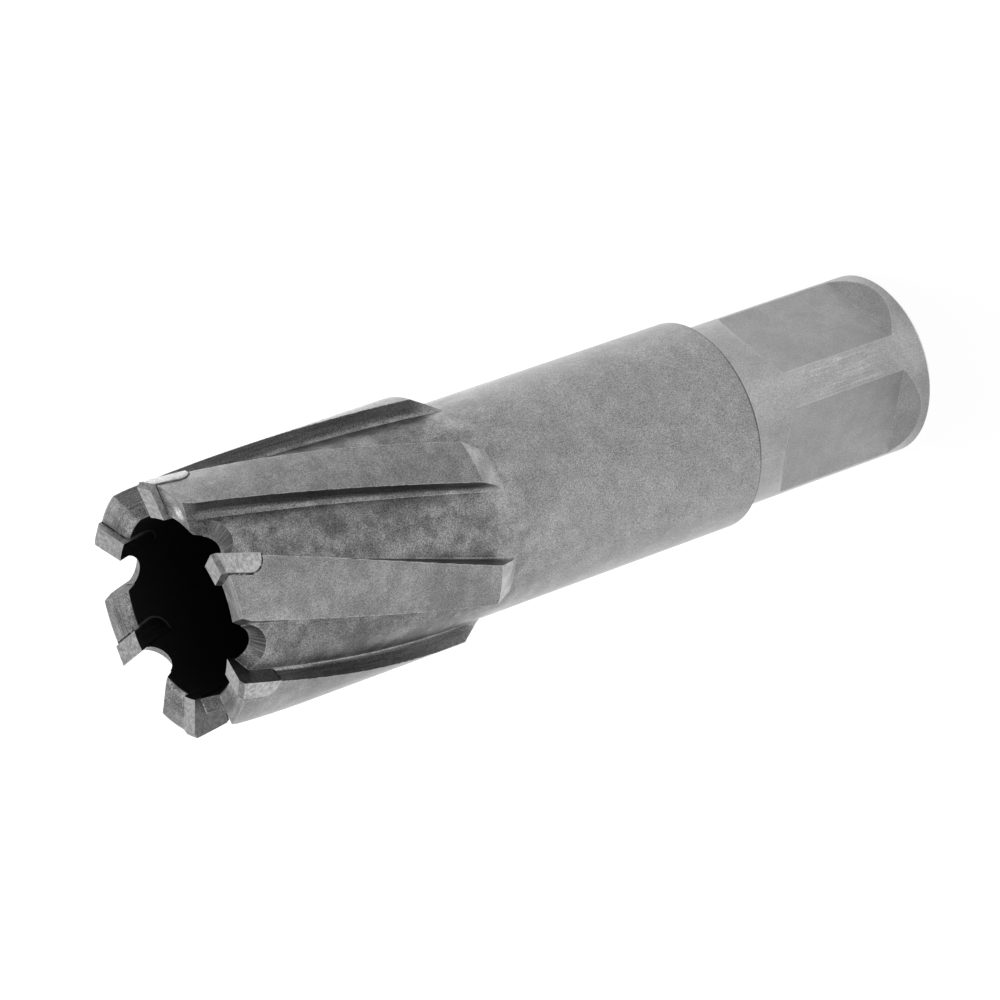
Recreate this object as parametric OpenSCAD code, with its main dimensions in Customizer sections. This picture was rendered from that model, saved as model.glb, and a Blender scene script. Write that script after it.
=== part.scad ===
// Annular cutter: a hollow steel body with brazed carbide tips and a two-flat side-lock shank.
// The axis is +Z. The shank's end face is z = 0 and the teeth point up.
// Teeth cut counter-clockwise as seen from above, so a leading face looks towards +angle.

/* [Overall] */
// Length from the shank's end face to the crests of the teeth
overall_length = 88.6; // [78:0.1:110]
// Diameter swept by the carbide tips
cutting_d = 25.4; // [24.6:0.1:28]
// Number of teeth
tooth_count = 6; // [4:1:6]
// Angle of the first tooth from the first flat
tooth_phase = -5.6; // [-30:0.1:30]

/* [Shank] */
// Shank diameter
shank_d = 19.05; // [18:0.05:20]
// Shank length from its end face to the body's shoulder
shank_length = 24; // [21:0.5:30]
// Depth of each flat below the shank's surface
flat_depth = 1.63; // [0.8:0.01:2]
// Length of each flat's floor
flat_length = 14.5; // [10:0.5:16]
// Distance from the shank's end face to the flat's floor
flat_setback = 3.5; // [2.5:0.1:4.5]
// Slope of the flat's two end walls
flat_end_angle = 38; // [35:1:60]
// Chamfer round the shank's end face
shank_chamfer = 0.5; // [0.2:0.1:1]
// Bore for the pilot pin
pilot_d = 6.4; // [5:0.1:9]

/* [Body] */
// Wall of the smooth body round the core bore
body_wall = 1.7; // [1.4:0.05:2]
// Chamfer round the body's rear edge
shoulder_chamfer = 0.25; // [0.1:0.05:0.6]
// Depth of the core bore from the crests
core_depth = 54; // [46:0.5:60]

/* [Head] */
// Height of the steel lands above the smooth body, which is also the floor of the flutes
flute_depth = 1.7; // [1.4:0.05:2]
// Length of the lands from the crests to their rear chamfer
land_length = 30.45; // [24:0.05:40]
// Slope of the chamfer at the rear of the lands, from the axis
land_end_angle = 30; // [20:1:50]
// Helix angle of the leading walls at the land diameter
helix_angle = 19.2; // [10:0.1:25]
// Width of a land at the crests, in degrees
land_front_angle = 31; // [27:0.5:34]
// Width of a land at its rear end, in degrees
land_rear_angle = 21.4; // [18:0.2:30]
// Fillet at the foot of a leading wall
lead_fillet = 0.6; // [0.4:0.05:1]
// Fillet at the foot of a trailing wall
heel_fillet = 1.1; // [0.5:0.05:1.3]
// Distance that the steel front stays below the crests, at the land diameter
front_step = 0.7; // [0.3:0.05:1]
// Slope of the hollow steel front
front_slope = 12; // [5:1:25]
// Chamfer at the mouth of the core bore
mouth_chamfer = 0.3; // [0.2:0.05:0.6]

/* [Gullets] */
// Height of the gullet's axis below the crests
gullet_drop = 1.3; // [1:0.1:1.8]
// Depth of the gullet cone's apex under the surface of the lands
gullet_reach = 7.35; // [7:0.05:7.8]
// Half angle of the gullet cone
gullet_angle = 25; // [24:0.5:26.5]
// Angle of the gullet's axis ahead of the tooth
gullet_lead = 17.5; // [16:0.5:18]
// Angle behind the tooth of the radius that its heel is milled along
heel_turn = 16.5; // [15:0.5:18]
// Distance of the heel's wall behind that radius, at the crests
heel_offset = 1.17; // [0.9:0.01:1.4]
// Lean of the heel's wall from the axis
heel_lean = 30; // [25:1:36]
// Depth of the heel's wall below the crests
heel_drop = 2.4; // [1.8:0.1:2.8]

/* [Carbide tips] */
// Height of the tips above the steel lands
tip_proud = 0.15; // [0.1:0.05:0.3]
// Height of the tips above the wall of the core bore
tip_overhang = 0.15; // [0.1:0.05:0.3]
// Thickness of a tip
tip_thickness = 1.95; // [1.8:0.05:2.6]
// Length of a tip along its face
tip_length = 4.9; // [4:0.1:6]
// Distance of the cutting edge ahead of the tooth's radius
tip_ahead = 1.5; // [1.2:0.05:1.7]
// Lean of the tip's leading face from the axis
tip_lean = 17; // [10:0.5:22]
// Radius of the tip's rear corner on its trailing side
tip_corner = 1.4; // [0.6:0.1:1.5]
// Distance of the cutting edge's crest inside the cutting diameter
crest_inset = 0.6; // [0.4:0.05:1.5]
// Slope of the cutting edge inside the crest
inner_bevel = 13.5; // [5:0.5:18]
// Slope of the cutting edge outside the crest
outer_bevel = 28; // [15:1:45]
// Relief of the tip's front behind the cutting edge
tip_relief = 4; // [2:0.5:10]
// Thickness of the braze round a tip
braze_gap = 0.22; // [0.1:0.02:0.3]

/* [Hidden] */

$fn = 96;
// Spare length by which a cutting solid passes what it cuts
spare = 1.5;
// Depth by which the lands reach into the body, and the flutes' floor lies under its surface
land_root = 0.6;
floor_root = 0.15;
// Slices in the height of a flute, and faces in each of its fillets
flute_slices = 20;
fillet_steps = 4;

// Width of the block milled off a heel
heel_width = 2;

shank_r = shank_d / 2;
cutting_r = cutting_d / 2;
land_r = cutting_r - tip_proud;
body_r = land_r - flute_depth;
core_r = body_r - body_wall;
tip_inner_r = core_r - tip_overhang;
crest_r = cutting_r - crest_inset;
flat_distance = shank_r - flat_depth;
land_rear_z = overall_length - land_length;
tooth_pitch = 360 / tooth_count;
all_teeth = [1:tooth_count];

// Turn of the leading and trailing walls for each millimetre of height
lead_rate = tan(helix_angle) / land_r * 180 / PI;
trail_rate = lead_rate - (land_front_angle - land_rear_angle) / land_length;
// Angle of both walls at the crests, from the tooth's radius
lead_wall = asin(tip_ahead / land_r);
trail_wall = lead_wall - land_front_angle;
floor_r = body_r - floor_root;
flute_outer_r = land_r + 2 * spare;
flute_top = overall_length + spare;
flute_bottom = land_rear_z - (land_r - body_r + land_root) / tan(land_end_angle) - spare;
front_z = overall_length - front_step;
mouth_r = core_r + mouth_chamfer;
mouth_z = front_z - (land_r - mouth_r) * tan(front_slope);
// Radii between which a tip's outline and cutting edge are drawn
edge_inner_x = tip_inner_r - spare;
edge_outer_x = cutting_r + spare;

function polar(r, angle) = [r * cos(angle), r * sin(angle)];

module at_tooth(tooth) {
    rotate([0, 0, tooth_phase + (tooth - 1) * tooth_pitch]) children();
}

// Block milled away over a flat, with its sloping end walls
module flat_cut() {
    end_run = (flat_depth + spare) / tan(flat_end_angle);
    top = shank_r + spare;
    translate([0, shank_r, 0])
        rotate([90, 0, 0])
            linear_extrude(shank_d)
                polygon([
                    [flat_distance, flat_setback],
                    [flat_distance, flat_setback + flat_length],
                    [top, flat_setback + flat_length + end_run],
                    [top, flat_setback - end_run]
                ]);
}

module shank() {
    difference() {
        rotate_extrude()
            polygon([
                [0, 0],
                [shank_r - shank_chamfer, 0],
                [shank_r, shank_chamfer],
                [shank_r, shank_length + spare],
                [0, shank_length + spare]
            ]);
        flat_cut();
        rotate([0, 0, 90]) flat_cut();
    }
}

module body_cylinder() {
    rotate_extrude()
        polygon([
            [0, shank_length],
            [body_r - shoulder_chamfer, shank_length],
            [body_r, shank_length + shoulder_chamfer],
            [body_r, flute_top],
            [0, flute_top]
        ]);
}

// Ring from which the flutes leave the lands, with the chamfer at their rear
module land_ring() {
    root_r = body_r - land_root;
    root_z = land_rear_z - (land_r - root_r) / tan(land_end_angle);
    rotate_extrude()
        polygon([
            [root_r, root_z],
            [land_r, land_rear_z],
            [land_r, overall_length],
            [root_r, overall_length]
        ]);
}

// Points of a fillet between a flute wall and its floor. The side is 1 at the leading wall and -1
// at the trailing wall, and the points run from the wall to the floor.
function fillet_points(wall, fillet, side) =
    let (
        swing = asin(fillet / (floor_r + fillet)),
        centre = polar(floor_r + fillet, wall + side * swing)
    )
    [for (i = [0:fillet_steps])
        centre + polar(fillet, wall - side * (90 + (90 - swing) * i / fillet_steps))];

function reversed(list) = [for (i = [len(list) - 1:-1:0]) list[i]];

// Outline of a flute at one height, from the leading wall to the next tooth's trailing wall
function flute_outline(z) =
    let (
        drop = overall_length - z,
        lead = lead_wall - lead_rate * drop,
        trail = trail_wall + tooth_pitch - trail_rate * drop
    )
    concat(
        [polar(flute_outer_r, lead)],
        fillet_points(lead, lead_fillet, 1),
        [polar(floor_r, (lead + trail) / 2)],
        reversed(fillet_points(trail, heel_fillet, -1)),
        [polar(flute_outer_r, trail)]
    );

// Flute ahead of a tooth, skinned over its outlines
module flute() {
    heights = [for (i = [0:flute_slices]) flute_bottom + (flute_top - flute_bottom) * i / flute_slices];
    count = len(flute_outline(0));
    polyhedron(
        points = [for (z = heights) for (p = flute_outline(z)) [p[0], p[1], z]],
        faces = concat(
            [reversed([for (j = [0:count - 1]) j])],
            [[for (j = [0:count - 1]) flute_slices * count + j]],
            [for (i = [0:flute_slices - 1]) for (j = [0:count - 1]) for (half = [0, 1])
                let (
                    low = i * count + j,
                    next = i * count + (j + 1) % count
                )
                half == 0 ? [low, next, next + count] : [low, next + count, low + count]]
        ),
        convexity = 4
    );
}

// Gullet ahead of a tooth: a radial cone, opened upwards along the leading face
module gullet() {
    reach = gullet_reach + spare;
    half_width = reach * tan(gullet_angle);
    rotate([0, 0, gullet_lead])
        translate([land_r - gullet_reach, 0, overall_length - gullet_drop]) {
            rotate([0, 90, 0]) cylinder(reach, 0, half_width);
            rotate([-tip_lean, 0, 0])
                linear_extrude(gullet_drop + 2 * spare + half_width)
                    polygon([[0, 0], [reach, -half_width], [reach, half_width]]);
        }
}

// Block milled off the heel of a tooth, where the gullet before it ends
module heel_cut() {
    depth = heel_drop / cos(heel_lean);
    rotate([0, 0, -heel_turn])
        translate([edge_inner_x, -heel_offset, overall_length])
            rotate([-heel_lean, 0, 0])
                translate([0, -heel_width, -depth])
                    cube([edge_outer_x + spare - edge_inner_x, heel_width, depth + 2 * spare]);
}

// Everything above the hollow steel front and the chamfered mouth of the core bore
module front_trim() {
    outer_r = land_r + spare;
    top_z = flute_top + spare;
    rotate_extrude()
        polygon([
            [0, mouth_z - mouth_r],
            [mouth_r, mouth_z],
            [outer_r, front_z + (outer_r - land_r) * tan(front_slope)],
            [outer_r, top_z],
            [0, top_z]
        ]);
}

// Steel body with its flutes and gullets, before the tip seats are milled
module steel_blank() {
    difference() {
        union() {
            shank();
            body_cylinder();
            difference() {
                land_ring();
                for (tooth = all_teeth) at_tooth(tooth) flute();
            }
        }
        front_trim();
        for (tooth = all_teeth)
            at_tooth(tooth) {
                gullet();
                heel_cut();
            }
        translate([0, 0, overall_length - core_depth]) cylinder(core_depth, r = core_r);
        translate([0, 0, -spare]) cylinder(overall_length, d = pilot_d);
    }
}

// Side outline of a tip, grown by a margin behind and below. Its leading face is x = 0 and the
// crest is y = 0.
module tip_outline(margin) {
    back = -tip_thickness - margin;
    rear = -tip_length - margin;
    corner = tip_corner + margin;
    translate([back, rear + corner]) square([-back, 2 * spare - rear - corner]);
    translate([back + corner, rear]) square([-back - corner, corner]);
    intersection() {
        translate([back + corner, rear + corner]) circle(corner);
        translate([back, rear]) square(corner);
    }
}

// Runs a side outline out through the wall, square to the tooth's radius
module across_wall() {
    translate([edge_inner_x, tip_ahead, overall_length])
        rotate([-tip_lean, 0, 0])
            rotate([90, 0, 90])
                linear_extrude(edge_outer_x - edge_inner_x) children();
}

// Block with the bevelled cutting edge, relieved behind the leading face
module edge_block() {
    depth = 2 * tip_length;
    translate([0, tip_ahead, overall_length])
        rotate([tip_relief, 0, 0])
            translate([0, depth / 2, 0])
                rotate([90, 0, 0])
                    linear_extrude(depth)
                        polygon([
                            [edge_inner_x, -depth],
                            [edge_outer_x, -depth],
                            [edge_outer_x, -(edge_outer_x - crest_r) * tan(outer_bevel)],
                            [crest_r, 0],
                            [edge_inner_x, -(crest_r - edge_inner_x) * tan(inner_bevel)]
                        ]);
}

// Ring to which the tips are ground inside and outside
module ground_ring() {
    difference() {
        cylinder(overall_length + spare, r = cutting_r);
        translate([0, 0, -spare]) cylinder(overall_length + 3 * spare, r = tip_inner_r);
    }
}

// Ring of the steel wall round the tips, under the hollow front
module wall_ring() {
    foot_z = overall_length - 2 * tip_length;
    rotate_extrude()
        polygon([
            [core_r, foot_z],
            [land_r, foot_z],
            [land_r, front_z],
            [mouth_r, mouth_z],
            [core_r, mouth_z - mouth_chamfer]
        ]);
}

module cutter_body() {
    color("darkgray")
        difference() {
            steel_blank();
            for (tooth = all_teeth) at_tooth(tooth) across_wall() tip_outline(braze_gap);
        }
}

module carbide_tip(tooth) {
    color("gainsboro")
        intersection() {
            at_tooth(tooth) across_wall() tip_outline(0);
            at_tooth(tooth) edge_block();
            ground_ring();
        }
}

// Braze behind and below a tip, flush with the steel
module braze_seam(tooth) {
    color("silver")
        intersection() {
            at_tooth(tooth)
                across_wall()
                    difference() {
                        tip_outline(braze_gap);
                        tip_outline(0);
                    }
            wall_ring();
        }
}

cutter_body();
for (k = all_teeth) carbide_tip(k);
for (k = all_teeth) braze_seam(k);
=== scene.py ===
import math
from types import SimpleNamespace

import bmesh
import bpy
from mathutils import Matrix, Vector


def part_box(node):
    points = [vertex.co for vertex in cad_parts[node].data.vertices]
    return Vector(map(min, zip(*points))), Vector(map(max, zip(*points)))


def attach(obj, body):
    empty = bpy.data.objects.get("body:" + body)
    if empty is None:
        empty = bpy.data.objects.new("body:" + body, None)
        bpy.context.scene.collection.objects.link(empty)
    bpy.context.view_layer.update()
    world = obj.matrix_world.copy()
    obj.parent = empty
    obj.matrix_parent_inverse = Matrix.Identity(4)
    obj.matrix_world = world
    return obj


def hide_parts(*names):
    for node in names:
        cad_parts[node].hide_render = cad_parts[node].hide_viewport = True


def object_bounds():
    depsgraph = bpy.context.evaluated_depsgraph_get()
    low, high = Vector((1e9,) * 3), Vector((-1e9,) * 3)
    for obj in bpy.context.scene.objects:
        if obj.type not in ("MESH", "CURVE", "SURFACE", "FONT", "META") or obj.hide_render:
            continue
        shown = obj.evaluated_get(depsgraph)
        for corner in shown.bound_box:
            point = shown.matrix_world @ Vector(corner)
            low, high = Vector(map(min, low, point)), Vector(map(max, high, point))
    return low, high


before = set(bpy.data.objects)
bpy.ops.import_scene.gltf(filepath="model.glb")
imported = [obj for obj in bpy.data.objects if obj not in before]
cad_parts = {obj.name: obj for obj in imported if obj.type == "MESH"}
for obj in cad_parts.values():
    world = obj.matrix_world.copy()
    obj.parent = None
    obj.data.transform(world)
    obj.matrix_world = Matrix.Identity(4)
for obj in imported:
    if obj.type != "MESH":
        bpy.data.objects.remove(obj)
cad_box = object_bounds()

# One millimetre in the frame's metres
MM = 0.001

# Radii and heights of the cutter in millimetres, from the frame and from the cutter's own dimensions
LAND_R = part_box("cutter_body")[1].x / MM
FRONT_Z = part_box("cutter_body")[1].z / MM
CREST_Z = max(corner[2] for corner in cad_box) / MM
FLUTE_DEPTH = 1.7
BODY_WALL = 1.7
LAND_LENGTH = 30.45
BODY_R = LAND_R - FLUTE_DEPTH
CORE_R = BODY_R - BODY_WALL
LAND_REAR_Z = CREST_Z - LAND_LENGTH
SHANK_R = 9.525
SHANK_TOP_Z = 24.0

# Gullets: each is a cone whose axis lies across the wall and whose point is inside the bore
TOOTH_COUNT = 6
TOOTH_ANGLE = -5.6
GULLET_LEAD = 17.5
GULLET_DROP = 1.3
GULLET_REACH = 7.35
GULLET_DEPTH = 8.5
GULLET_TURN = math.radians(TOOTH_ANGLE + GULLET_LEAD)
GULLET_AXIS_Z = CREST_Z - GULLET_DROP
GULLET_POINT_R = LAND_R - GULLET_REACH
GULLET_FOOT_Z = FRONT_Z - GULLET_DEPTH

# Painted glint on the front of the second tooth, by the bore's mouth
GLINT_PLACE = (-1.0, 10.62, 87.5)
GLINT_R = 1.15

# Places along the cutter, in millimetres: the height where a finish begins and the one where it is full
SHANK_END = (0.9, 0.5)
PALE_END = (6.0, 2.0)
SCRATCH_START = (5.0, 8.0)
SCRATCH_STOP = (18.0, 13.0)
SHANK_TOP = (SHANK_TOP_Z + 0.2, SHANK_TOP_Z - 0.2)
SHOULDER_START = (SHANK_TOP_Z - 0.3, SHANK_TOP_Z - 0.1)
SHOULDER_STOP = (SHANK_TOP_Z + 0.4, SHANK_TOP_Z + 0.3)
CORE_FLOOR = (30.0, 34.0)
STAINED_NECK = (LAND_REAR_Z - 9.0, LAND_REAR_Z)
HEAD_START = (LAND_REAR_Z - 2.0, LAND_REAR_Z + 0.5)
PALE_FRONT = (FRONT_Z - 13.0, FRONT_Z - 3.0)
GULLET_FOOT = (GULLET_FOOT_Z - 1.0, GULLET_FOOT_Z + 1.0)
GULLET_TOP = (FRONT_Z - 2.2, FRONT_Z - 2.8)
TOOTH_FRONT = (FRONT_Z - 2.2, FRONT_Z - 1.6)

# Places across the cutter, in the same way: radii, and for the strips the lesser of x and y
CORE_WALL = (CORE_R + 0.06, CORE_R + 0.02)
CORE_MOUTH = (CORE_R + 1.2, CORE_R + 0.2)
GULLET_RIM = (BODY_R + 0.4, BODY_R + 0.1)
FLUTE_FLOOR = (BODY_R + 0.9, BODY_R + 0.3)
LAND_TOP = (BODY_R + 0.9, BODY_R + 1.5)
ROUND_SHANK = (SHANK_R - 0.1, SHANK_R - 0.03)
SHANK_STRIP = (3.5, 6.2)
SCRATCHED_STRIP = (4.5, 5.2)

# Ways that a surface faces, in the same way: 1 is along a direction, 0 across it and -1 against it
SIDEWAYS = (0.75, 0.35)
UPRIGHT = (0.75, 0.45)
FILLET_FOOT = (0.97, 0.85)
FILLET_HEAD = (0.4, 0.65)
LEANING_BACK = (-0.25, -0.4)
GULLET_FLOOR = (0.5, 0.8)
FACING_FRONT = (0.4, 0.65)
FLAT_END_WALL = (0.2, 0.4)
ROUNDED_EDGE = (0.995, 0.95)
TIP_AHEAD = (0.2, 0.5)
TIP_OUTSIDE = (0.6, 0.85)
TIP_FRONT = (0.35, 0.6)
TIP_BEVEL = (0.28, 0.4)
TIP_BORE_SIDE = (0.5, 0.3)
TOWARDS_BORE = (-0.5, -0.7)

# Noises: waves a millimetre, detail and roughness. A gullet's waves are for each unit of its cone's slope.
GRAIN = (8.0, 1.0, 0.5)
CLOUDS = (0.6, 3.0, 0.6)
PATCHINESS = (2.0, 3.0, 0.65)
STAINS = (0.22, 3.0, 0.55)
STROKES = (4.0, 2.0, 0.6)
GULLET_STROKES = (20.0, 2.0, 0.6)
SCRATCHES = (4.5, 2.0, 0.6)
CARBIDE_MOTTLE = (2.4, 4.0, 0.7)
CARBIDE_SCORES = (2.5, 2.0, 0.6)
BRAZE_GRAINS = (2.6, 3.0, 0.7)

# Stretch of the marks along the axis: below 1 is longer, above 1 is shorter
STROKE_STRETCH = 0.04
SCRATCH_STRETCH = 0.05
SCORE_STRETCH = 5.0

# What an even noise does to a tone: how far it swings round its middle, and the least and most factor
STAIN_SWING = (0.12, 0.82, 1.12)
CLOUD_SWING = (0.15, 0.74, 1.24)
WALL_SWING = (0.15, 0.82, 1.18)
GULLET_SWING = (0.12, 0.5, 1.5)
FRONT_SWING = (0.17, 0.82, 1.32)
GRAIN_SWING = (0.2, 0.54, 1.46)
MOTTLE_SWING = (0.18, 0.68, 1.3)
SCORE_SWING = (0.2, 0.84, 1.16)

# The same for the roughness of the steel and the carbide. The braze has one roughness.
STEEL_ROUGHNESS = (0.3, 0.36, 0.5)
CARBIDE_ROUGHNESS = (0.3, 0.3, 0.48)
BRAZE_ROUGHNESS = 0.5

# What an uneven noise does: the limits between which it counts, and what it gives at each
MOUTH_HIGHLIGHT_LIMITS = (0.45, 0.6)
GLINT_LIMITS = (0.35, 0.55, 0.5, 1.0)
SCRATCH_LIMITS = (0.45, 0.7, 0.97, 1.22)
BODY_WEAR_AND_SHEEN_LIMITS = (0.4, 0.62, 0.12, 0.85)
BRAZE_LIMITS = (0.42, 0.72, 0.03, 0.3)

# Tones of the steel
SKIN_TONE = 0.278
LAND_TONE = 0.235
FLUTE_TONE = 0.19
# Painted shade on the milled walls, less of it near the front
SHADED_WALL_TONE = 0.095
FRONT_SHADED_WALL_TONE = 0.16
# Painted light on the gullets' sides and painted shade on their floors
GULLET_SIDE_LIGHT_TONE = 0.55
GULLET_FLOOR_SHADE_TONE = 0.19
# Painted glint by the bore's mouth on the second tooth
GLINT_TONE = 0.95
# Worn edges with a painted highlight
WEAR_AND_SHEEN_TONE = 0.52
# Painted shade in the bore
CORE_SHADE_TONE = 0.06

# How many times as bright as the skin round it a place of the steel is
FRONT_BRIGHTER = 1.2
NECK_DARKER = 0.94
SHANK_BRIGHTER = 1.14
STRIP_BRIGHTER = 1.44
END_BRIGHTER = 1.14
# Painted highlights on the tooth fronts along the bore's mouth
MOUTH_HIGHLIGHT_BRIGHTER = 1.6
# Painted highlight on the fillets at the walls' feet, slightly darker near the front
FILLET_HIGHLIGHT_BRIGHTER = 1.35
FRONT_FILLET_DARKER = 0.9
# Painted light on slopes that face the shank's end, most on its end chamfer
REAR_SLOPE_PAINTED_LIGHT = 1.5
END_CHAMFER_PAINTED_LIGHT = 3.0
# Painted shadow on the shoulder's chamfer and beside it
SHOULDER_CHAMFER_SHADOW = 0.1
SHOULDER_SHADOW = 0.55
# Painted light on the flats' end walls
FLAT_END_PAINTED_LIGHT = 1.15

# How strongly the stains and the grain show on each place of the steel
NECK_STAINED = 0.7
SKIN_STAINED = 0.28
SHANK_STAINED = 0.2
LAND_STAINED = 0.5
SKIN_GRAINY = 0.72
SHANK_GRAINY = 0.4
GULLET_GRAINY = 0.3

# Tones of the carbide, and of the braze in the bore
TIP_BACK_TONE = 0.3
# Painted shade on the leading face and a painted reflection on the outside
TIP_FACE_SHADE_TONE = 0.12
TIP_OUTSIDE_REFLECTION_TONE = 0.4
TIP_FRONT_TONE = 0.38
TIP_BEVEL_TONE = 0.25
# Worn edges of the tips with a painted highlight
TIP_WEAR_AND_SHEEN_TONE = 0.6
# Painted shade on the carbide in the bore
TIP_BORE_SHADE_TONE = 0.07
BRAZE_BORE_TONE = 0.2

# Worn edges with a painted highlight: their reach in millimetres, the rays that find them, and how strongly
# they show on the tips
BODY_WEAR_AND_SHEEN = 0.16
TIP_WEAR_AND_SHEEN = 0.1
EDGE_RAYS = 6
TIP_WEAR_AND_SHEEN_SHARE = 0.6
TIP_FACE_WEAR_AND_SHEEN_SHARE = 0.1

# Unevenness of the surfaces: its depth in millimetres and its strength
STEEL_BUMP = (0.012, 0.5)
CARBIDE_BUMP = (0.015, 0.5)
BRAZE_BUMP = (0.03, 0.7)

# Camera of the photograph: its place in metres, its axes in the frame and its lens
CAMERA_PLACE = Vector((0.2931, 0.2865, 0.3125))
CAMERA_RIGHT = Vector((0.59744, 0.11868, -0.79308))
CAMERA_UP = Vector((-0.53118, 0.79946, -0.28052))
CAMERA_LENS = 177.6
CAMERA_SENSOR = 36.0

# Room light: from the backdrop's side to the camera's side, and its strength on each
ROOM_LEVELS = (-0.35, 0.3, 1.0, 0.74)

# Floor: half its side in metres, its colour, and its white share in the picture and in the metal
FLOOR_HALF_SIDE = 3.0
FLOOR_COLOUR = (0.92, 0.92, 0.92, 1)
FLOOR_SEEN = 0.93
FLOOR_MIRRORED = 0.35

# Lamps over the floor beside the cutter: place and side in metres, power in watts
FLOOR_LAMPS = {
    "back_floor_lamp": (Vector((-0.15, -0.09, 0.13)), 0.12, 0.78),
    "side_floor_lamp": (Vector((0.18, 0.02, 0.13)), 0.12, 0.24),
}

# Edges and welding, in millimetres and degrees
TIP_EDGE_ROUND = 0.04
SHARP_ANGLE = 26.0
FLAT_ANGLE = 0.3
WELD = 0.004


class Nodes:
    """Short calls that add nodes to a tree. Each value is a number or another node's output."""

    def __init__(self, tree):
        self.tree = tree

    def add(self, kind, inputs=None, **settings):
        node = self.tree.nodes.new(kind)
        for key, value in settings.items():
            setattr(node, key, value)
        for key, value in (inputs or {}).items():
            self.set(node.inputs[key], value)
        return node

    def set(self, socket, value):
        if isinstance(value, bpy.types.NodeSocket):
            self.tree.links.new(value, socket)
        else:
            socket.default_value = value

    def vector(self, operation, first, second=None, scale=None):
        node = self.add("ShaderNodeVectorMath", {0: first}, operation=operation)
        if second is not None:
            self.set(node.inputs[1], second)
        if scale is not None:
            self.set(node.inputs["Scale"], scale)
        scalar = operation in ("DOT_PRODUCT", "LENGTH", "DISTANCE")
        return node.outputs["Value" if scalar else "Vector"]

    def math(self, operation, *values):
        return self.add("ShaderNodeMath", dict(enumerate(values)), operation=operation).outputs[0]

    def times(self, first, *others):
        for other in others:
            first = self.math("MULTIPLY", first, other)
        return first

    def mix(self, share, first, second):
        node = self.add("ShaderNodeMix", {0: share, 2: first, 3: second}, data_type="FLOAT")
        return node.outputs[0]

    def step(self, value, low, high, to_low=0.0, to_high=1.0):
        """A smooth step of a value between two limits."""
        inputs = {"Value": value, "From Min": low, "From Max": high, "To Min": to_low, "To Max": to_high}
        return self.add("ShaderNodeMapRange", inputs, interpolation_type="SMOOTHSTEP").outputs[0]


class Finish(Nodes):
    """A metal's material, with the measures of the cutter that the finishes read."""

    def __init__(self, name):
        self.material = bpy.data.materials.new(name)
        self.material.use_nodes = True
        super().__init__(self.material.node_tree)
        self.tree.nodes.clear()
        self.shader = self.add("ShaderNodeBsdfPrincipled", {"Metallic": 1.0})
        self.add("ShaderNodeOutputMaterial", {"Surface": self.shader.outputs["BSDF"]})

        # Place, radius and height in millimetres, turn round the axis, and the lesser of x and y
        self.place = self.vector("SCALE", self.add("ShaderNodeTexCoord").outputs["Object"], scale=1 / MM)
        flat = self.vector("MULTIPLY", self.place, (1, 1, 0))
        axes = self.add("ShaderNodeSeparateXYZ", {0: self.place}).outputs
        self.radius = self.vector("LENGTH", flat)
        self.height = axes["Z"]
        self.turn = self.math("ARCTAN2", axes["Y"], axes["X"])
        self.between_flats = self.math("MINIMUM", axes["X"], axes["Y"])

        # How far the surface faces outwards, ahead in the turn and upwards
        self.normal = self.add("ShaderNodeNewGeometry").outputs["Normal"]
        outward = self.vector("NORMALIZE", flat)
        ahead = self.vector("CROSS_PRODUCT", (0, 0, 1), outward)
        self.facing = self.vector("DOT_PRODUCT", self.normal, outward)
        self.ahead = self.vector("DOT_PRODUCT", self.normal, ahead)
        self.rise = self.add("ShaderNodeSeparateXYZ", {0: self.normal}).outputs["Z"]

    def noise(self, scale, detail, roughness, place=None):
        inputs = {"Vector": place or self.place, "Scale": scale, "Detail": detail, "Roughness": roughness}
        return self.add("ShaderNodeTexNoise", inputs).outputs["Fac"]

    def varied(self, noise, spread, low, high):
        """A factor between two values, from a noise that swings this far round its middle."""
        return self.step(noise, 0.5 - spread, 0.5 + spread, low, high)

    def scaled(self, tone, share, factor):
        """A tone times a factor, in the place that the share gives."""
        return self.times(tone, self.mix(share, 1.0, factor))

    def along_axis(self, stretch):
        return self.vector("MULTIPLY", self.place, (1, 1, stretch))

    def strokes(self):
        """Tool marks along a wall and round a tooth's front, one beside the next from the bore outwards."""
        drift = self.times(self.height, STROKE_STRETCH)
        place = self.add("ShaderNodeCombineXYZ", {"X": self.radius, "Y": drift})
        return self.noise(*STROKES, place.outputs[0])

    def gullet_strokes(self):
        """Tool marks along the lines of each gullet's cone."""
        half_pitch = math.pi / TOOTH_COUNT
        aside = self.math("WRAP", self.math("SUBTRACT", self.turn, GULLET_TURN), half_pitch, -half_pitch)
        depth = self.math("SUBTRACT", self.radius, GULLET_POINT_R)
        across = self.math("DIVIDE", self.times(aside, self.radius), depth)
        below = self.math("DIVIDE", self.math("SUBTRACT", self.height, GULLET_AXIS_Z), depth)
        which = self.math("SUBTRACT", self.turn, aside)
        place = self.add("ShaderNodeCombineXYZ", {"X": across, "Y": below, "Z": which})
        return self.noise(*GULLET_STROKES, place.outputs[0])

    def wear_and_sheen(self, reach):
        """How near the surface is to an edge, from the turn of its rounded normal."""
        rounded = self.add("ShaderNodeBevel", {"Radius": reach * MM}, samples=EDGE_RAYS).outputs["Normal"]
        return self.step(self.vector("DOT_PRODUCT", rounded, self.normal), *ROUNDED_EDGE)

    def colour(self, tone):
        grey = self.add("ShaderNodeCombineColor", {"Red": tone, "Green": tone, "Blue": tone})
        self.set(self.shader.inputs["Base Color"], grey.outputs["Color"])

    def roughness(self, value):
        self.set(self.shader.inputs["Roughness"], value)

    def bump(self, height, depth, strength):
        inputs = {"Height": height, "Distance": depth * MM, "Strength": strength}
        self.set(self.shader.inputs["Normal"], self.add("ShaderNodeBump", inputs).outputs["Normal"])


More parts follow.
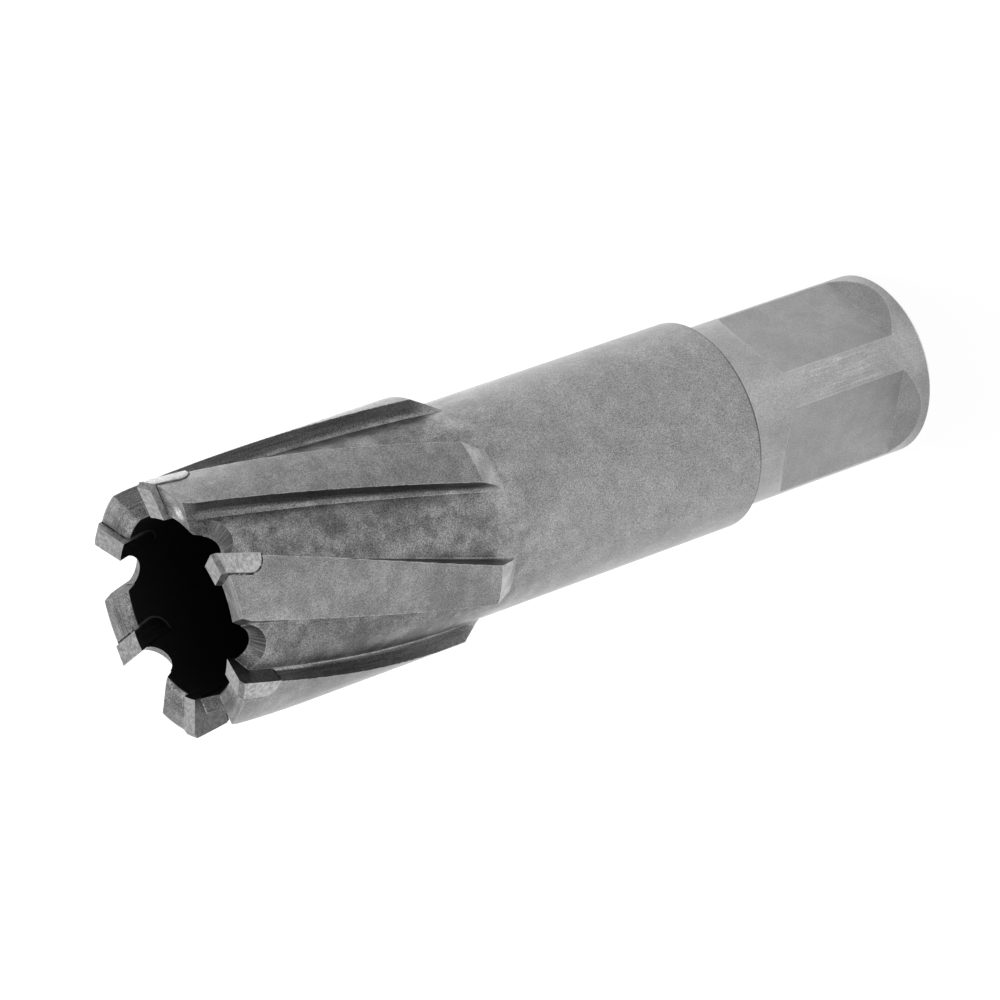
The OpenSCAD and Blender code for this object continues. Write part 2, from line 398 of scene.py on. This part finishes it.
def steel_places(finish):
    """Shares of the steel's places: 1 in a place and 0 outside it, with a soft border."""
    radius, height, facing, rise = finish.radius, finish.height, finish.facing, finish.rise
    in_head = finish.step(height, *HEAD_START)
    on_shank = finish.step(height, *SHANK_TOP)
    in_flute = finish.times(in_head, finish.step(radius, *FLUTE_FLOOR))
    sideways = finish.step(finish.math("ABSOLUTE", facing), *SIDEWAYS)
    upright = finish.step(finish.math("ABSOLUTE", rise), *UPRIGHT)
    return SimpleNamespace(
        on_shank=on_shank,
        in_flute=in_flute,
        behind_head=finish.step(height, *STAINED_NECK),
        near_front=finish.step(height, *PALE_FRONT),
        on_land=finish.times(in_head, finish.step(radius, *LAND_TOP)),
        on_wall=finish.times(sideways, upright, in_head),
        on_fillet=finish.times(
            in_flute, finish.step(facing, *FILLET_FOOT), finish.step(facing, *FILLET_HEAD), upright,
        ),
        in_gullet=finish.times(
            sideways, finish.step(height, *GULLET_FOOT), finish.step(height, *GULLET_TOP),
            finish.step(radius, *GULLET_RIM),
        ),
        on_front=finish.times(finish.step(rise, *FACING_FRONT), finish.step(height, *TOOTH_FRONT)),
        in_core=finish.times(finish.step(radius, *CORE_WALL), finish.step(height, *CORE_FLOOR)),
        on_round_shank=finish.times(on_shank, finish.step(radius, *ROUND_SHANK)),
        on_flat_end=finish.times(on_shank, finish.step(rise, *FLAT_END_WALL)),
        at_shoulder=finish.times(finish.step(height, *SHOULDER_START), finish.step(height, *SHOULDER_STOP)),
        at_end=finish.step(height, *SHANK_END),
        leaning_back=finish.step(rise, *LEANING_BACK),
    )


def blasted_skin(finish, places):
    """Tone of the blasted skin, paler near the teeth and patchy in and behind the flutes."""
    tone = finish.mix(places.in_flute, finish.mix(places.on_land, SKIN_TONE, LAND_TONE), FLUTE_TONE)
    tone = finish.scaled(tone, places.near_front, FRONT_BRIGHTER)
    tone = finish.scaled(tone, places.behind_head, NECK_DARKER)

    # Round shank, brighter on the strip between the flats and towards its end
    on_strip = finish.step(finish.between_flats, *SHANK_STRIP)
    turned = finish.times(
        finish.mix(on_strip, SHANK_BRIGHTER, STRIP_BRIGHTER),
        finish.step(finish.height, *PALE_END, 1.0, END_BRIGHTER),
    )
    tone = finish.scaled(tone, places.on_round_shank, turned)

    # Stains, strongest in the flutes
    stained = finish.math("MAXIMUM", places.in_flute, finish.times(places.behind_head, NECK_STAINED))
    stained = finish.mix(places.on_shank, finish.mix(stained, SKIN_STAINED, 1.0), SHANK_STAINED)
    stained = finish.mix(places.on_land, stained, LAND_STAINED)
    stain = finish.times(
        finish.varied(finish.noise(*STAINS), *STAIN_SWING),
        finish.varied(finish.noise(*CLOUDS), *CLOUD_SWING),
    )
    return finish.scaled(tone, stained, stain)


def milled_head(finish, places, tone, patchiness):
    """The head's cut surfaces: walls in painted shade, gullets in painted light and shade, and ground tooth
    fronts and fillets with painted highlights.
    """
    strokes = finish.strokes()
    # Painted shade on the milled walls, over their tool marks
    wall = finish.times(
        finish.mix(places.near_front, SHADED_WALL_TONE, FRONT_SHADED_WALL_TONE),
        finish.varied(strokes, *WALL_SWING),
    )
    # Painted light on the gullets' sides and painted shade on their floors, over their tool marks
    on_floor = finish.step(finish.rise, *GULLET_FLOOR)
    gullet = finish.times(
        finish.mix(on_floor, GULLET_SIDE_LIGHT_TONE, GULLET_FLOOR_SHADE_TONE),
        finish.varied(finish.gullet_strokes(), *GULLET_SWING),
    )
    is_milled = finish.math("MAXIMUM", places.on_wall, places.in_gullet)
    tone = finish.mix(is_milled, tone, finish.mix(places.in_gullet, wall, gullet))

    # Tooth fronts ground round the axis, with painted highlights along the bore and a painted glint on one
    # of them
    tone = finish.scaled(tone, places.on_front, finish.varied(strokes, *FRONT_SWING))
    mouth_highlights = finish.times(
        places.on_front, finish.step(finish.radius, *CORE_MOUTH), finish.step(patchiness, *MOUTH_HIGHLIGHT_LIMITS),
    )
    tone = finish.scaled(tone, mouth_highlights, MOUTH_HIGHLIGHT_BRIGHTER)
    glint = finish.step(finish.vector("DISTANCE", finish.place, GLINT_PLACE), GLINT_R, 0.0)
    glint = finish.times(glint, finish.step(patchiness, *GLINT_LIMITS))
    tone = finish.mix(glint, tone, GLINT_TONE)

    # Painted highlight on the fillets at the feet of the walls, turned slightly darker near the front
    fillet_light = finish.mix(places.near_front, FILLET_HIGHLIGHT_BRIGHTER, FRONT_FILLET_DARKER)
    return finish.scaled(tone, places.on_fillet, fillet_light)


def slopes_and_shank(finish, places, tone):
    """Painted light on slopes that face the shank's end and on the flats' end walls, a painted shadow line
    at the shoulder, and scratches by the flats.
    """
    # Painted light on slopes that lean towards the shank's end, most on its end chamfer, and painted shadow
    # on and beside the shoulder's chamfer
    chamfer = finish.mix(places.at_end, REAR_SLOPE_PAINTED_LIGHT, END_CHAMFER_PAINTED_LIGHT)
    slope = finish.mix(places.at_shoulder, chamfer, SHOULDER_CHAMFER_SHADOW)
    beside_slope = finish.mix(places.at_shoulder, 1.0, SHOULDER_SHADOW)
    tone = finish.times(tone, finish.mix(places.leaning_back, beside_slope, slope))
    # Painted light on the flats' end walls
    tone = finish.scaled(tone, places.on_flat_end, FLAT_END_PAINTED_LIGHT)

    # Scratches along the strip between the flats
    scratches = finish.noise(*SCRATCHES, finish.along_axis(SCRATCH_STRETCH))
    scratched = finish.times(
        places.on_round_shank, finish.step(finish.between_flats, *SCRATCHED_STRIP),
        finish.step(finish.height, *SCRATCH_START), finish.step(finish.height, *SCRATCH_STOP),
    )
    return finish.scaled(tone, scratched, finish.step(scratches, *SCRATCH_LIMITS))


def blasted_steel():
    """Bead-blasted steel: fine grain, stained flutes, painted shade on the milled walls and in the bore, and
    worn edges with a painted highlight.
    """
    finish = Finish("blasted_steel")
    places = steel_places(finish)
    grain = finish.noise(*GRAIN)
    patchiness = finish.noise(*PATCHINESS)
    tone = blasted_skin(finish, places)
    tone = milled_head(finish, places, tone, patchiness)
    tone = slopes_and_shank(finish, places, tone)

    # Grain all over, least in the gullets and on the shank
    grainy = finish.mix(places.on_shank, finish.mix(places.in_flute, SKIN_GRAINY, 1.0), SHANK_GRAINY)
    grainy = finish.mix(places.in_gullet, grainy, GULLET_GRAINY)
    tone = finish.scaled(tone, grainy, finish.varied(grain, *GRAIN_SWING))

    # Worn edges with a painted highlight, but for the gullets and the shoulder
    wear_and_sheen = finish.times(finish.wear_and_sheen(BODY_WEAR_AND_SHEEN), finish.step(patchiness, *BODY_WEAR_AND_SHEEN_LIMITS))
    without_wear_and_sheen = finish.math("MAXIMUM", places.in_gullet, places.at_shoulder)
    tone = finish.mix(finish.mix(without_wear_and_sheen, wear_and_sheen, 0.0), tone, WEAR_AND_SHEEN_TONE)
    # Painted shade in the bore
    finish.colour(finish.mix(places.in_core, tone, CORE_SHADE_TONE))
    finish.roughness(finish.varied(grain, *STEEL_ROUGHNESS))
    finish.bump(grain, *STEEL_BUMP)
    return finish.material


def ground_carbide():
    """Ground carbide: mottled and scored, with painted shade on the leading face and a painted reflection on
    the outside, and painted shade where it hangs in the bore.
    """
    finish = Finish("ground_carbide")
    mottle = finish.noise(*CARBIDE_MOTTLE)
    scores = finish.noise(*CARBIDE_SCORES, finish.along_axis(SCORE_STRETCH))
    is_ahead = finish.step(finish.ahead, *TIP_AHEAD)
    on_outside = finish.step(finish.facing, *TIP_OUTSIDE)
    on_front = finish.step(finish.rise, *TIP_FRONT)
    on_bevel = finish.times(finish.step(finish.facing, *TIP_BEVEL), on_front)
    in_bore = finish.times(
        finish.step(finish.facing, *TOWARDS_BORE), finish.step(finish.rise, *TIP_BORE_SIDE),
    )

    # Painted shade on the leading face and a painted reflection on the outside
    tone = finish.mix(on_outside, finish.mix(is_ahead, TIP_BACK_TONE, TIP_FACE_SHADE_TONE), TIP_OUTSIDE_REFLECTION_TONE)
    tone = finish.mix(on_front, tone, finish.mix(on_bevel, TIP_FRONT_TONE, TIP_BEVEL_TONE))
    tone = finish.times(tone, finish.varied(mottle, *MOTTLE_SWING), finish.varied(scores, *SCORE_SWING))
    wear_and_sheen_share = finish.mix(is_ahead, TIP_WEAR_AND_SHEEN_SHARE, TIP_FACE_WEAR_AND_SHEEN_SHARE)
    # Worn edges with a painted highlight
    tone = finish.mix(finish.times(finish.wear_and_sheen(TIP_WEAR_AND_SHEEN), wear_and_sheen_share), tone, TIP_WEAR_AND_SHEEN_TONE)
    # Painted shade where the carbide hangs in the bore
    finish.colour(finish.mix(in_bore, tone, TIP_BORE_SHADE_TONE))
    finish.roughness(finish.varied(mottle, *CARBIDE_ROUGHNESS))
    finish.bump(mottle, *CARBIDE_BUMP)
    return finish.material


def silver_braze():
    """Braze in the seams: a dark line with bright grains."""
    finish = Finish("silver_braze")
    grains = finish.noise(*BRAZE_GRAINS)
    in_bore = finish.step(finish.facing, *TOWARDS_BORE)
    finish.colour(finish.mix(in_bore, finish.step(grains, *BRAZE_LIMITS), BRAZE_BORE_TONE))
    finish.roughness(BRAZE_ROUGHNESS)
    finish.bump(grains, *BRAZE_BUMP)
    return finish.material


def white_floor():
    """White floor that stays white in the picture and in the metal, and keeps a soft shadow."""
    material = bpy.data.materials.new("white_floor")
    material.use_nodes = True
    nodes = Nodes(material.node_tree)
    nodes.tree.nodes.clear()
    rays = nodes.add("ShaderNodeLightPath").outputs
    seen = nodes.times(nodes.math("MAXIMUM", rays["Is Camera Ray"], rays["Is Transmission Ray"]), FLOOR_SEEN)
    white = nodes.math("MAXIMUM", seen, nodes.times(rays["Is Glossy Ray"], FLOOR_MIRRORED))
    diffuse = nodes.add("ShaderNodeBsdfDiffuse", {"Color": FLOOR_COLOUR})
    glow = nodes.add("ShaderNodeEmission", {"Strength": 1.0})
    mixed = nodes.add("ShaderNodeMixShader", {"Fac": white, 1: diffuse.outputs[0], 2: glow.outputs[0]})
    nodes.add("ShaderNodeOutputMaterial", {"Surface": mixed.outputs[0]})
    return material


def dressed_copy(node, name, material, edge_round=0.0):
    """A welded copy of a CAD node with smooth faces, crisp edges and, on the tips, slightly rounded ones."""
    mesh = bpy.data.meshes.new(name)
    shape = bmesh.new()
    shape.from_mesh(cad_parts[node].data)
    bmesh.ops.remove_doubles(shape, verts=shape.verts, dist=WELD * MM)
    bmesh.ops.dissolve_limit(
        shape, angle_limit=math.radians(FLAT_ANGLE), use_dissolve_boundaries=False,
        verts=shape.verts, edges=shape.edges, delimit={"NORMAL"},
    )
    sharp = [edge for edge in shape.edges if edge.calc_face_angle(0.0) >= math.radians(SHARP_ANGLE)]
    if edge_round:
        bmesh.ops.bevel(
            shape, geom=sharp, offset=edge_round * MM, offset_type="OFFSET", segments=2, profile=0.5,
            affect="EDGES", clamp_overlap=True, material=-1,
        )
        sharp = []
    for face in shape.faces:
        face.smooth = True
    for edge in shape.edges:
        edge.smooth = True
    for edge in sharp:
        edge.smooth = False
    shape.to_mesh(mesh)
    shape.free()
    mesh.materials.append(material)
    piece = bpy.data.objects.new(name, mesh)
    bpy.context.scene.collection.objects.link(piece)
    shading = piece.modifiers.new("even_shading", "WEIGHTED_NORMAL")
    shading.mode = "FACE_AREA"
    shading.keep_sharp = True
    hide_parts(node)
    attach(piece, "root")


def build_cutter():
    steel = blasted_steel()
    carbide = ground_carbide()
    braze = silver_braze()
    for node in sorted(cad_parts):
        if node.startswith("carbide_tip"):
            dressed_copy(node, node + "_ground", carbide, TIP_EDGE_ROUND)
        elif node.startswith("braze_seam"):
            dressed_copy(node, node + "_bead", braze)
        else:
            dressed_copy(node, node + "_blasted", steel)


def build_stage():
    mesh = bpy.data.meshes.new("floor")
    shape = bmesh.new()
    bmesh.ops.create_grid(shape, x_segments=1, y_segments=1, size=FLOOR_HALF_SIDE)
    shape.to_mesh(mesh)
    shape.free()
    mesh.materials.append(white_floor())
    floor = bpy.data.objects.new("floor", mesh)
    bpy.context.scene.collection.objects.link(floor)


def build_light():
    """White room, dimmer on the side from which the photograph was taken, and lamps that light the floor."""
    world = bpy.data.worlds.new("white_room")
    bpy.context.scene.world = world
    world.use_nodes = True
    nodes = Nodes(world.node_tree)
    background = nodes.tree.nodes["Background"]
    nodes.set(background.inputs["Color"], (1, 1, 1, 1))
    direction = nodes.add("ShaderNodeTexCoord").outputs["Generated"]
    level = nodes.step(nodes.vector("DOT_PRODUCT", direction, CAMERA_RIGHT.cross(CAMERA_UP)), *ROOM_LEVELS)
    is_seen = nodes.add("ShaderNodeLightPath").outputs["Is Camera Ray"]
    nodes.set(background.inputs["Strength"], nodes.math("MAXIMUM", level, is_seen))

    for name, (place, side, power) in FLOOR_LAMPS.items():
        lamp = bpy.data.lights.new(name, "AREA")
        lamp.size = side
        lamp.energy = power
        holder = bpy.data.objects.new(name, lamp)
        holder.location = place
        holder.visible_camera = False
        holder.visible_glossy = False
        bpy.context.scene.collection.objects.link(holder)


def build_camera():
    data = bpy.data.cameras.new("photo_camera")
    data.lens = CAMERA_LENS
    data.sensor_width = CAMERA_SENSOR
    camera = bpy.data.objects.new("photo_camera", data)
    bpy.context.scene.collection.objects.link(camera)
    right = CAMERA_RIGHT.normalized()
    back = right.cross(CAMERA_UP).normalized()
    up = back.cross(right)
    turn = Matrix((right, up, back)).transposed().to_4x4()
    camera.matrix_world = Matrix.Translation(CAMERA_PLACE) @ turn
    bpy.context.scene.camera = camera


build_cutter()
build_stage()
build_light()
build_camera()
bpy.context.scene.view_settings.view_transform = "Standard"
